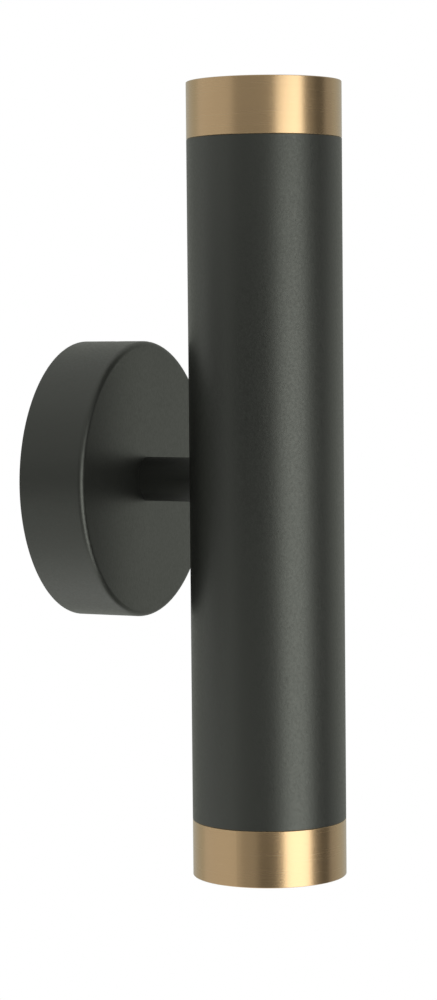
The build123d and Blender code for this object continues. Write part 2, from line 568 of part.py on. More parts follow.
for end_name, end in ENDS.items():
    turned = profile_plane(end)
    axis = tube_axis(end)

    # End ring: flush with the tube, with a spigot bonded inside it
    with BuildPart() as ring:
        with BuildSketch(end.offset(TUBE_LENGTH / 2)):
            Circle(tube_diameter / 2)
            Circle(ring_bore / 2, mode=Mode.SUBTRACT)
        extrude(amount=RING_HEIGHT)
        chamfer(ring.edges().filter_by(GeomType.CIRCLE), EDGE_BREAK)
        with BuildSketch(end.offset(TUBE_LENGTH / 2 + EDGE_BREAK)):
            Circle(ring_bore / 2 + RING_SPIGOT_WALL)
            Circle(ring_bore / 2, mode=Mode.SUBTRACT)
        extrude(amount=-(RING_SPIGOT_LENGTH + EDGE_BREAK))
    write(ring, f"{end_name}_ring")

    # Lampholder: round face with two keyholes, over a tail that takes the leads
    face_plane = end.offset(holder_face_height)
    with BuildPart() as lampholder:
        with BuildSketch(end.offset(holder_seat_height)):
            Circle(HOLDER_DIAMETER / 2)
        extrude(amount=HOLDER_HEIGHT)
        fillet(lampholder.edges().filter_by(GeomType.CIRCLE), HOLDER_EDGE_ROUND)
        with BuildSketch(end.offset(holder_seat_height)):
            RectangleRounded(HOLDER_TAIL_WIDTH, HOLDER_TAIL_DEPTH, HOLDER_TAIL_ROUND)
        extrude(amount=-HOLDER_TAIL_HEIGHT)
        with BuildSketch(face_plane):
            with PolarLocations(0, PIN_COUNT):
                SlotArc(TWIST_PATH, PIN_DIAMETER + 2 * PIN_FIT)
            with PolarLocations(PIN_SPACING / 2, PIN_COUNT, start_angle=TWIST_ANGLE):
                Circle(PIN_HEAD_DIAMETER / 2 + PIN_FIT)
        extrude(amount=-HOLDER_FACE_THICKNESS, mode=Mode.SUBTRACT)
        with BuildSketch(face_plane.offset(-HOLDER_FACE_THICKNESS)):
            with PolarLocations(0, PIN_COUNT):
                SlotArc(TWIST_PATH, PIN_HEAD_DIAMETER + 2 * PIN_FIT)
        extrude(amount=HOLDER_FACE_THICKNESS - pocket_depth, mode=Mode.SUBTRACT)
        with BuildSketch(face_plane):
            with GridLocations(0, 2 * holder_screw_offset, 1, HOLDER_SCREW_COUNT):
                Circle(holder_hole_radius)
        extrude(amount=-HOLDER_HEIGHT, mode=Mode.SUBTRACT)
        with BuildSketch(face_plane):
            with GridLocations(0, 2 * holder_screw_offset, 1, HOLDER_SCREW_COUNT):
                Circle(holder_sink_radius)
        extrude(amount=holder_hole_radius - holder_sink_radius, taper=COUNTERSINK_ANGLE, mode=Mode.SUBTRACT)
        with BuildSketch(end.offset(holder_end_height)):
            with GridLocations(HOLDER_LEAD_SPACING, 0, PIN_COUNT, 1):
                Circle(LEAD_DIAMETER / 2 + LEAD_FIT)
        extrude(amount=HOLDER_LEAD_DEPTH, mode=Mode.SUBTRACT)
    write(lampholder, f"{end_name}_lampholder")

    # Spring contacts on the floor of the pockets, under the locked pins
    with BuildPart() as contacts:
        with BuildSketch(face_plane.offset(-pocket_depth)):
            with PolarLocations(PIN_SPACING / 2, PIN_COUNT):
                SlotOverall(CONTACT_LENGTH, CONTACT_WIDTH, rotation=90)
        extrude(amount=CONTACT_THICKNESS)
    write(contacts, f"{end_name}_holder_contacts")

    # Countersunk screws through the holder into the carrier
    with BuildPart() as holder_screws:
        screw_face = face_plane.offset(-HOLDER_SCREW_SINK)
        with BuildSketch(screw_face):
            with GridLocations(0, 2 * holder_screw_offset, 1, HOLDER_SCREW_COUNT):
                Circle(HOLDER_SCREW_DIAMETER / 2)
        extrude(amount=-(HOLDER_HEIGHT + CARRIER_THICKNESS + HOLDER_SCREW_OVERRUN))
        with BuildSketch(screw_face):
            with GridLocations(0, 2 * holder_screw_offset, 1, HOLDER_SCREW_COUNT):
                Circle(HOLDER_SCREW_HEAD_DIAMETER / 2)
        extrude(amount=-(HOLDER_SCREW_HEAD_DIAMETER - HOLDER_SCREW_DIAMETER) / 2, taper=COUNTERSINK_ANGLE)
        with BuildSketch(screw_face):
            with GridLocations(0, 2 * holder_screw_offset, 1, HOLDER_SCREW_COUNT):
                Rectangle(HOLDER_SCREW_DIAMETER, SCREW_SLOT_WIDTH)
                Rectangle(SCREW_SLOT_WIDTH, HOLDER_SCREW_DIAMETER)
        extrude(amount=-SCREW_SLOT_DEPTH, mode=Mode.SUBTRACT)
    write(holder_screws, f"{end_name}_holder_screws")

    # Lamp housing: base, fluted flare, rim with a seat for the lens, and a bowl for the reflector
    with BuildPart() as lamp_housing:
        with BuildSketch(turned):
            with BuildLine():
                Polyline((0, lamp_seat_height), (LAMP_BASE_DIAMETER / 2, lamp_seat_height), flare_start)
                SagittaArc(flare_start, flare_end, -LAMP_FLARE_BULGE)
                Polyline(
                    flare_end,
                    (LAMP_DIAMETER / 2, lamp_face_height),
                    (lens_radius, lamp_face_height),
                    (lens_radius, lens_seat),
                    (bowl_radius, lens_seat),
                )
                SagittaArc((bowl_radius, lens_seat), (CHIP_DIAMETER / 2, bowl_floor), REFLECTOR_SAGITTA)
                Polyline((CHIP_DIAMETER / 2, bowl_floor), (0, bowl_floor), (0, lamp_seat_height))
            make_face()
        revolve(axis=axis)
        for flute in range(LAMP_FLUTE_COUNT):
            with BuildSketch(turned.rotated((0, 0, flute * 360 / LAMP_FLUTE_COUNT))):
                with BuildLine():
                    Polyline(
                        flute_low,
                        flute_high,
                        (LAMP_DIAMETER / 2, flute_high[1]),
                        (LAMP_DIAMETER / 2, flute_low[1]),
                        close=True,
                    )
                make_face()
            extrude(amount=LAMP_FLUTE_WIDTH / 2, both=True, mode=Mode.SUBTRACT)
    write(lamp_housing, f"{end_name}_lamp_housing")

    # Reflector: a bright bowl lining the housing
    with BuildPart() as reflector:
        with BuildSketch(turned):
            with BuildLine():
                SagittaArc((bowl_radius, lens_seat), (CHIP_DIAMETER / 2, bowl_floor), REFLECTOR_SAGITTA)
                Line((CHIP_DIAMETER / 2, bowl_floor), (CHIP_DIAMETER / 2, bowl_floor + CHIP_THICKNESS))
                SagittaArc(
                    (CHIP_DIAMETER / 2, bowl_floor + CHIP_THICKNESS),
                    (bowl_radius - REFLECTOR_WALL, lens_seat),
                    -REFLECTOR_SAGITTA,
                )
                Line((bowl_radius - REFLECTOR_WALL, lens_seat), (bowl_radius, lens_seat))
            make_face()
        revolve(axis=axis)
    write(reflector, f"{end_name}_lamp_reflector")

    # Light source: a chip board with a domed emitter, at the bottom of the bowl
    with BuildPart() as chip:
        with BuildSketch(end.offset(bowl_floor)):
            Circle(CHIP_DIAMETER / 2 - CHIP_FIT)
        extrude(amount=CHIP_THICKNESS)
        with BuildSketch(end.offset(bowl_floor + CHIP_THICKNESS)):
            Circle(CHIP_DOME_DIAMETER / 2)
        extrude(amount=CHIP_DOME_HEIGHT)
    write(chip, f"{end_name}_lamp_chip")

    # Cover lens with a rounded front edge, set in the rim
    with BuildPart() as lens:
        with BuildSketch(end.offset(lens_seat)):
            Circle(lens_radius - LENS_FIT)
        extrude(amount=LENS_THICKNESS)
        fillet(lens.faces().sort_by(axis)[-1].edges(), LENS_EDGE_ROUND)
    write(lens, f"{end_name}_lamp_lens")

    # Headed pins that lock under the holder's face
    with BuildPart() as pins:
        with BuildSketch(end.offset(lamp_seat_height)):
            with GridLocations(PIN_SPACING, 0, PIN_COUNT, 1):
                Circle(PIN_DIAMETER / 2)
        extrude(amount=-PIN_LENGTH)
        with BuildSketch(end.offset(lamp_seat_height - PIN_LENGTH)):
            with GridLocations(PIN_SPACING, 0, PIN_COUNT, 1):
                Circle(PIN_HEAD_DIAMETER / 2)
        extrude(amount=PIN_HEAD_LENGTH)
    write(pins, f"{end_name}_lamp_pins")

# Lamp leads: from each holder down or up to the nipple, through it, and up to the terminal block
for end_name, up in (("top", 1), ("bottom", -1)):
    for lead_name, side, pole in (("live", -1, pole_places[0]), ("neutral", 1, pole_places[1])):
        rise_out = terminal_axis_out + up * lead_spread
        lead_points = [
            (side * HOLDER_LEAD_SPACING / 2, -tube_axis_out, up * (holder_end_height + LEAD_STRAIGHT)),
            (side * HOLDER_LEAD_SPACING / 2, -tube_axis_out, up * (holder_end_height - LEAD_STRAIGHT)),
            (side * lead_spread, -tube_axis_out, up * lead_spread),
            (side * lead_spread, -rise_out, up * lead_spread),
            (pole, -rise_out, TERMINAL_START - LEAD_STRAIGHT),
            (pole, -rise_out, TERMINAL_START + TERMINAL_CLAMP_RECESS),
        ]
        with BuildPart() as lead:
            with BuildLine() as route:
                FilletPolyline(*lead_points, radius=bend_radii(lead_points))
            with BuildSketch(Plane(route.line @ 0, z_dir=route.line % 0)):
                Circle(LEAD_DIAMETER / 2)
            sweep()
            with BuildSketch(Plane(route.line @ 1, z_dir=route.line % 1)):
                Circle(LEAD_CORE_DIAMETER / 2)
            extrude(amount=LEAD_CORE_LENGTH)
        write(lead, f"{end_name}_{lead_name}_lead")

# Earth lead: from the last pole, round the nut, to the lug on the bracket's lower half
lug_barrel_end = lug_barrel_start + lug_way * LUG_BARREL_LENGTH
lug_approach = lug_barrel_end + lug_way * LEAD_STRAIGHT
earth_points = [
    (pole_places[-1], -terminal_axis_out, TERMINAL_START + TERMINAL_CLAMP_RECESS),
    (pole_places[-1], -terminal_axis_out, TERMINAL_START - LEAD_STRAIGHT),
    (EARTH_LEAD_SIDE, -terminal_axis_out, 0),
    (EARTH_LEAD_SIDE, -(terminal_axis_out + lug_axis_out) / 2, -EARTH_LEAD_BELOW),
    tuple(lug_approach),
    tuple(lug_barrel_start + lug_way * LUG_LEAD_INSET),
]
with BuildPart() as earth_lead:
    with BuildLine() as route:
        FilletPolyline(*earth_points, radius=bend_radii(earth_points))
    with BuildSketch(Plane(route.line @ 0, z_dir=route.line % 0)):
        Circle(LEAD_DIAMETER / 2)
    sweep()
    with BuildSketch(Plane(route.line @ 0, z_dir=-(route.line % 0))):
        Circle(LEAD_CORE_DIAMETER / 2)
    extrude(amount=LEAD_CORE_LENGTH)
write(earth_lead, "earth_lead")
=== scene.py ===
import json
import math

import bmesh
import bpy
from mathutils import Matrix, Quaternion, Vector


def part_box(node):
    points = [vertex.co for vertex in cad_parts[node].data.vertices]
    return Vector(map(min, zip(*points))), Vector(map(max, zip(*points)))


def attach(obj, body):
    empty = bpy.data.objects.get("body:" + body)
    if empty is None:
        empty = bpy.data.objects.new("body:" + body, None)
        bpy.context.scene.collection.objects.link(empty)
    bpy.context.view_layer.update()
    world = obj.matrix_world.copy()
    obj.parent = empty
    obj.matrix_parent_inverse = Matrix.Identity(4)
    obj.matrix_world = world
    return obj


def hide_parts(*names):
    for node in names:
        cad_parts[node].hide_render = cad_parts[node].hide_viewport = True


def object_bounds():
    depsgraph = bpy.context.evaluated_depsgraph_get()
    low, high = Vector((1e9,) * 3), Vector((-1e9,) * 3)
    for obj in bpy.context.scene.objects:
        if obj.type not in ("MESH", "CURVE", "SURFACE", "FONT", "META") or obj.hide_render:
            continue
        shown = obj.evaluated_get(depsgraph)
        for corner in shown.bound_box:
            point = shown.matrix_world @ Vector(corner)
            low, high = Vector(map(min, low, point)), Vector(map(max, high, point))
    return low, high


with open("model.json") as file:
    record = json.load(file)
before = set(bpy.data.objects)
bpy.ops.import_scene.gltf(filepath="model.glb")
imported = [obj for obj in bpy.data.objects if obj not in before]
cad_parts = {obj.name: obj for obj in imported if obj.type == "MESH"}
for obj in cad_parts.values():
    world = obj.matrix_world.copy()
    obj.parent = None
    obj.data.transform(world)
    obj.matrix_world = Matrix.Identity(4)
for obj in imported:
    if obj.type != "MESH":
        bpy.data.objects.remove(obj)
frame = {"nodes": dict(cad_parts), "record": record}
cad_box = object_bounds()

# Wall spotlight that shines up and down. Lengths are metres, angles are degrees, and +Z is up.
MM = 0.001


def rgb(red, green, blue):
    """A colour that covers fully."""
    return (red, green, blue, 1.0)


WHITE = rgb(1, 1, 1)

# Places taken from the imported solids
tube_low, tube_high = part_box("tube")
TUBE_CENTRE = (tube_low + tube_high) / 2
LAMP_ENDS = {"top": 1, "bottom": -1}

# Black powder coat; the stem gets a copy with less sheen, which renders darker
COAT_SHEEN = 0.8
STEM_SHEEN = 0.4
COAT_SPECKLE = 0.35
COAT_ROUGHNESS = (0.29, 0.53)
COAT_RELIEF = 0.045 * MM
COAT_RELIEF_STRENGTH = 0.6

# Turned brass of the rings
BRASS_LINE_LENGTH = 45 * MM
BRASS_LINE_PITCH = 0.22 * MM
BRASS_BANDING = 0.3
BRASS_ROUGHNESS = (0.24, 0.29)
BRASS_RELIEF = 0.0015 * MM

# Other finishes
RELIEF_STRENGTH = 0.5
WEAR_PATCH = 3 * MM
WEAR_STRENGTH = 6.0
DRAWN_LINE_LENGTH = 20 * MM
DRAWN_RELIEF = 0.01 * MM
MOULD_GRAIN = 0.6 * MM
STRIPE_SCALE = 60.0
STRIPE_WANDER = 0.6
STRIPE_EDGE = 0.62
SHEATH_ROUGHNESS = (0.32, 0.45)
SHEATH_RELIEF = 0.01 * MM
GLASS_ROUGHNESS = (0.0, 0.06)
GLASS_RIPPLE = 0.02 * MM
GLASS_RIPPLE_STRENGTH = 0.4

# Edges of a turned piece that bend by more than this stay sharp
SHARP_ANGLE = 30.0
GLASS_SHARP_ANGLE = 50.0

# Canopy, with the soft front edge of a spun cup
CANOPY_WALL = 1.2 * MM
CANOPY_EDGE_RADIUS = 2.0 * MM
CANOPY_EDGE_ROWS = 16
CANOPY_EDGE_LEAD = 0.1 * MM
CANOPY_STEPS = 256
CANOPY_HOLE_FIT = 0.15 * MM
SCREW_HOLE_STEPS = 48
# Lays a piece turned about +Z over, so that it stands out from the wall
OUT_FROM_WALL = Matrix(((1, 0, 0, 0), (0, 0, -1, 0), (0, 1, 0, 0), (0, 0, 0, 1)))

# Lamp front, seen through the mouth of the tube
BOWL_FACETS = 32
BOWL_ROWS = 7
BOWL_BULGE = 3.6 * MM
BOWL_SHEET = 0.3 * MM
CHIP_STEPS = 48
BOARD_SHARE = 0.6
BOARD_ROUND = 0.15 * MM
PHOSPHOR_RADIUS = 3.9 * MM
PHOSPHOR_BULGE = 0.2 * MM
PHOSPHOR_ROWS = 6
DAM_WIDTH = 0.7 * MM
GLASS_STEPS = 96
GLASS_RINGS = 5
GLASS_RING_PITCH = 0.9 * MM
GLASS_RING_DEPTH = 0.25 * MM
GLASS_PLAIN_EDGE = 1.5 * MM
GLASS_EDGE_ROUND = 0.6 * MM
GLASS_EDGE_CUT = 0.3 * GLASS_EDGE_ROUND

# Camera, as it stood for the photograph
VIEW_AZIMUTH = -63.911
VIEW_ELEVATION = 3.573
VIEW_ROLL = -0.532
VIEW_DISTANCE = 0.97815
VIEW_AIM_ACROSS = -0.017234
VIEW_AIM_UP = -0.006653
FOCAL_LENGTH_PIXELS = 2747.2
PICTURE_HEIGHT_PIXELS = 1000
SENSOR_MM = 36.0

# Studio: one soft box, screens that only reflections see, pale floor
FLOOR_DROP = 0.36
FLOOR_SIZE = 12.0
FLOOR_SHADOW_INNER = 0.35
FLOOR_SHADOW_OUTER = 0.9
FLOOR_NEAR_WHITE = 0.5
FLOOR_CLOUD_SCALE = 3.0
ROOM_LIGHT = 0.55
KEY_ANGLE = 42.3
KEY_DISTANCE = 1.3
KEY_WIDTH = 1.0
KEY_HEIGHT = 1.7
KEY_DROP = 0.5
KEY_LEAN = 12.0
KEY_RADIANCE = 2.35
SCREEN_STEP = 5.0
CEILING_HEIGHT = 1.9
CEILING_SIZE = 6.4
CEILING_TONE = 0.6

# Screens by their angles to the right of the camera's line:
# start, end, distance, bottom, top, brightness
SCREENS = {
    "screen_beside_camera": (-47.0, 17.0, 1.6, -2.0, 2.0, 0.4),
    "screen_over_key": (17.0, 60.0, 1.6, -2.0, 2.0, 0.2),
    "screen_dim": (60.0, 78.0, 1.6, -2.0, 2.0, 0.24),
    "screen_dark_gap": (78.0, 99.0, 1.6, -2.0, 2.0, 0.1),
    "screen_behind_right": (99.0, 118.0, 1.6, -2.0, 2.0, 0.42),
    "screen_behind": (118.0, 245.0, 1.6, -2.0, 2.0, 0.52),
    "screen_for_canopy": (105.0, 150.0, 1.2, -0.27, 0.06, 0.66),
    "screen_far_left": (245.0, 277.0, 1.6, -2.0, 2.0, 0.69),
    "screen_left": (277.0, 313.0, 1.6, -2.0, 0.4, 0.71),
    "screen_upper_left": (277.0, 313.0, 1.6, 0.4, 2.0, 0.45),
    "screen_dark_card": (-54.0, 8.0, 0.45, -0.06, 0.1, 0.05),
    "screen_dark_side": (-92.0, -62.0, 0.45, -0.07, 0.085, 0.1),
    "screen_low_card": (-18.0, 10.0, 0.6, -0.42, -0.19, 0.12),
}
# Screens that aren't plain grey
TINTED_SCREENS = ("screen_for_canopy", "screen_behind")
SCREEN_TINT = rgb(0.97, 1.0, 0.92)

# Sockets of a mix of two colours, which go by number because other mixes share their names
MIX_MASK, MIX_COLOUR, MIX_OTHER = 0, 6, 7
MIX_RESULT = 2


def set_input(tree, socket, value):
    """Gives a socket a constant, or links it to an output."""
    if isinstance(value, bpy.types.NodeSocket):
        tree.links.new(value, socket)
    else:
        socket.default_value = value


def add_node(tree, kind, inputs=None, **settings):
    """Adds a node. Each input is a constant, or an output that is linked to it."""
    node = tree.nodes.new(kind)
    for name, value in settings.items():
        setattr(node, name, value)
    for name, value in (inputs or {}).items():
        set_input(tree, node.inputs[name], value)
    return node


def calculate(tree, operation, first, second=0.0):
    """The output of a math node."""
    node = add_node(tree, "ShaderNodeMath", {0: first, 1: second}, operation=operation)
    return node.outputs[0]


def spread(tree, value, low, high):
    """A mask from 0 to 1, opened out or closed up to run from low to high."""
    node = add_node(tree, "ShaderNodeMapRange", {"Value": value, "To Min": low, "To Max": high})
    return node.outputs[0]


def mix_colours(tree, mask, colour, other):
    """One colour where the mask is 0 and the other where it is 1."""
    node = add_node(tree, "ShaderNodeMix", data_type="RGBA")
    for index, value in ((MIX_MASK, mask), (MIX_COLOUR, colour), (MIX_OTHER, other)):
        set_input(tree, node.inputs[index], value)
    return node.outputs[MIX_RESULT]


def start_group(name, inputs, outputs):
    """A shader node group with its sockets: inputs with their default values, outputs by name."""
    group = bpy.data.node_groups.new(name, "ShaderNodeTree")
    for socket, default in inputs.items():
        if default is None:
            group.interface.new_socket(socket, in_out="INPUT", socket_type="NodeSocketVector")
        else:
            made = group.interface.new_socket(
                socket, in_out="INPUT", socket_type="NodeSocketFloat"
            )
            made.default_value = default
    for socket in outputs:
        group.interface.new_socket(socket, in_out="OUTPUT", socket_type="NodeSocketFloat")
    given = group.nodes.new("NodeGroupInput").outputs
    result = group.nodes.new("NodeGroupOutput").inputs
    return group, given, result


def make_grain_group():
    """Fine grain and a broad mottle, both by place on the piece."""
    group, given, result = start_group(
        "grain",
        {"Place": None, "Grain Size": 0.5 * MM, "Mottle Size": 12 * MM},
        ["Grain", "Mottle"],
    )
    for size, detail, output in (("Grain Size", 2.0, "Grain"), ("Mottle Size", 4.0, "Mottle")):
        scale = calculate(group, "DIVIDE", 1.0, given[size])
        noise = add_node(
            group,
            "ShaderNodeTexNoise",
            {"Vector": given["Place"], "Scale": scale, "Detail": detail},
        )
        group.links.new(noise.outputs[0], result[output])
    return group


def make_lines_group():
    """Fine tool lines: short across the lines and long along them, by a size for each axis."""
    group, given, result = start_group(
        "tool_lines",
        {"Place": None, "Size X": 40 * MM, "Size Y": 40 * MM, "Size Z": 0.2 * MM},
        ["Lines", "Bands"],
    )
    sizes = add_node(
        group,
        "ShaderNodeCombineXYZ",
        {"X": given["Size X"], "Y": given["Size Y"], "Z": given["Size Z"]},
    )
    stretched = add_node(
        group, "ShaderNodeVectorMath", {0: given["Place"], 1: sizes.outputs[0]}, operation="DIVIDE"
    )
    for scale, detail, output in ((1.0, 3.0, "Lines"), (0.12, 1.0, "Bands")):
        noise = add_node(
            group,
            "ShaderNodeTexNoise",
            {"Vector": stretched.outputs[0], "Scale": scale, "Detail": detail},
        )
        group.links.new(noise.outputs[0], result[output])
    return group


def make_edge_group():
    """A mask of the sharp edges, broken up by a little noise, where a finish rubs thin."""
    group, given, result = start_group("rubbed_edges", {"Place": None, "Reach": 0.4 * MM}, ["Edge"])
    bevel = add_node(group, "ShaderNodeBevel", {"Radius": given["Reach"]}, samples=4)
    facing = add_node(group, "ShaderNodeNewGeometry")
    across = add_node(
        group,
        "ShaderNodeVectorMath",
        {0: bevel.outputs[0], 1: facing.outputs["Normal"]},
        operation="DOT_PRODUCT",
    )
    turn = calculate(group, "SUBTRACT", 1.0, across.outputs["Value"])
    patches = add_node(
        group,
        "ShaderNodeTexNoise",
        {"Vector": given["Place"], "Scale": 1 / WEAR_PATCH, "Detail": 3.0},
    )
    wear = spread(group, patches.outputs[0], 0.0, WEAR_STRENGTH)
    rubbed = calculate(group, "MULTIPLY", turn, wear)
    clipped = add_node(group, "ShaderNodeClamp", {"Value": rubbed})
    group.links.new(clipped.outputs[0], result["Edge"])
    return group


GRAIN = make_grain_group()
TOOL_LINES = make_lines_group()
RUBBED_EDGES = make_edge_group()


def start_material(name, **constants):
    """A material with its shader; constants are the shader's sockets, with _ for a space."""
    material = bpy.data.materials.new(name)
    material.use_nodes = True
    tree = material.node_tree
    tree.nodes.clear()
    shader = add_node(tree, "ShaderNodeBsdfPrincipled")
    for socket, value in constants.items():
        shader.inputs[socket.replace("_", " ")].default_value = value
    output = add_node(tree, "ShaderNodeOutputMaterial")
    tree.links.new(shader.outputs[0], output.inputs["Surface"])
    place = add_node(tree, "ShaderNodeTexCoord").outputs["Object"]
    return material, tree, shader.inputs, place


def use_group(tree, group, **inputs):
    """Places a group in a material, with _ for a space in its inputs, and gives its outputs."""
    node = add_node(tree, "ShaderNodeGroup", node_tree=group)
    for socket, value in inputs.items():
        set_input(tree, node.inputs[socket.replace("_", " ")], value)
    return node.outputs


def bump(tree, target, height, distance, strength):
    """Raises the surface by a height mask, in metres of relief."""
    node = add_node(
        tree, "ShaderNodeBump", {"Height": height, "Distance": distance, "Strength": strength}
    )
    tree.links.new(node.outputs[0], target["Normal"])


def make_black_coat(name, sheen):
    """Black powder coat: a fine, even texture with a soft sheen."""
    material, tree, shader, place = start_material(
        name, IOR=1.55, Specular_IOR_Level=sheen, Specular_Tint=rgb(0.95, 1.0, 0.88)
    )
    grain = use_group(tree, GRAIN, Place=place, Grain_Size=0.95 * MM, Mottle_Size=18 * MM)
    edge = use_group(tree, RUBBED_EDGES, Place=place, Reach=0.3 * MM)["Edge"]
    coat = mix_colours(
        tree, grain["Mottle"], rgb(0.0108, 0.0113, 0.0098), rgb(0.0132, 0.0137, 0.012)
    )
    speckle = spread(tree, grain["Grain"], 0.0, COAT_SPECKLE)
    speckled = mix_colours(tree, speckle, coat, rgb(0.02, 0.0206, 0.0184))
    rubbed = mix_colours(tree, edge, speckled, rgb(0.045, 0.045, 0.042))
    tree.links.new(rubbed, shader["Base Color"])
    tree.links.new(spread(tree, grain["Grain"], *COAT_ROUGHNESS), shader["Roughness"])
    bump(tree, shader, grain["Grain"], COAT_RELIEF, COAT_RELIEF_STRENGTH)
    return material


def make_turned_brass():
    """Satin brass with fine turning lines round the ring, under clear lacquer."""
    material, tree, shader, place = start_material(
        "turned_brass", Metallic=1.0, Coat_Weight=0.5, Coat_Roughness=0.22, Coat_IOR=1.5
    )
    lines = use_group(
        tree,
        TOOL_LINES,
        Place=place,
        Size_X=BRASS_LINE_LENGTH,
        Size_Y=BRASS_LINE_LENGTH,
        Size_Z=BRASS_LINE_PITCH,
    )
    edge = use_group(tree, RUBBED_EDGES, Place=place, Reach=0.3 * MM)["Edge"]
    brass = mix_colours(tree, lines["Lines"], rgb(0.556, 0.382, 0.196), rgb(0.596, 0.417, 0.222))
    bands = spread(tree, lines["Bands"], 0.0, BRASS_BANDING)
    banded = mix_colours(tree, bands, brass, rgb(0.528, 0.362, 0.188))
    bright = mix_colours(tree, edge, banded, rgb(0.72, 0.55, 0.33))
    tree.links.new(bright, shader["Base Color"])
    tree.links.new(spread(tree, lines["Lines"], *BRASS_ROUGHNESS), shader["Roughness"])
    bump(tree, shader, lines["Lines"], BRASS_RELIEF, RELIEF_STRENGTH)
    return material


def make_metal(name, dull, bright, roughness, line_size, relief=DRAWN_RELIEF):
    """A plated or plain metal with faint drawing lines along X and a cloudy tone."""
    material, tree, shader, place = start_material(name, Metallic=1.0)
    lines = use_group(
        tree,
        TOOL_LINES,
        Place=place,
        Size_X=DRAWN_LINE_LENGTH,
        Size_Y=line_size,
        Size_Z=line_size,
    )
    clouds = use_group(tree, GRAIN, Place=place, Mottle_Size=7 * MM)["Mottle"]
    edge = use_group(tree, RUBBED_EDGES, Place=place, Reach=0.25 * MM)["Edge"]
    cloudy = mix_colours(tree, clouds, dull, bright)
    rubbed = mix_colours(tree, edge, cloudy, rgb(0.85, 0.84, 0.80))
    tree.links.new(rubbed, shader["Base Color"])
    tree.links.new(spread(tree, lines["Lines"], *roughness), shader["Roughness"])
    bump(tree, shader, lines["Lines"], relief, RELIEF_STRENGTH)
    return material


def make_plastic(name, colour, other, roughness, relief, grain_size=MOULD_GRAIN, **constants):
    """A moulded or fired surface with a fine grain and a slight change of tone."""
    material, tree, shader, place = start_material(name, **constants)
    grain = use_group(tree, GRAIN, Place=place, Grain_Size=grain_size, Mottle_Size=9 * MM)
    tree.links.new(mix_colours(tree, grain["Mottle"], colour, other), shader["Base Color"])
    tree.links.new(spread(tree, grain["Grain"], *roughness), shader["Roughness"])
    bump(tree, shader, grain["Grain"], relief, RELIEF_STRENGTH)
    return material


def make_striped_sheath():
    """Green lead sheath with a yellow stripe that winds round it."""
    material, tree, shader, place = start_material("green_yellow_sheath")
    grain = use_group(tree, GRAIN, Place=place, Grain_Size=0.3 * MM, Mottle_Size=6 * MM)
    stripes = add_node(
        tree,
        "ShaderNodeTexWave",
        {"Vector": place, "Scale": STRIPE_SCALE, "Distortion": STRIPE_WANDER},
        wave_type="BANDS",
        bands_direction="DIAGONAL",
    )
    mask = calculate(tree, "GREATER_THAN", stripes.outputs["Fac"], STRIPE_EDGE)
    green = mix_colours(tree, grain["Mottle"], rgb(0.03, 0.20, 0.04), rgb(0.05, 0.27, 0.06))
    striped = mix_colours(tree, mask, green, rgb(0.72, 0.55, 0.04))
    tree.links.new(striped, shader["Base Color"])
    tree.links.new(spread(tree, grain["Grain"], *SHEATH_ROUGHNESS), shader["Roughness"])
    bump(tree, shader, grain["Grain"], SHEATH_RELIEF, RELIEF_STRENGTH)
    return material


def make_cover_glass():
    """Clear cover glass with a trace of dust and a faint ripple from the mould."""
    material, tree, shader, place = start_material(
        "cover_glass", Base_Color=rgb(0.97, 0.985, 0.98), Transmission_Weight=1.0, IOR=1.46
    )
    ripple = use_group(tree, GRAIN, Place=place, Mottle_Size=14 * MM)["Mottle"]
    tree.links.new(spread(tree, ripple, *GLASS_ROUGHNESS), shader["Roughness"])
    bump(tree, shader, ripple, GLASS_RIPPLE, GLASS_RIPPLE_STRENGTH)
    return material


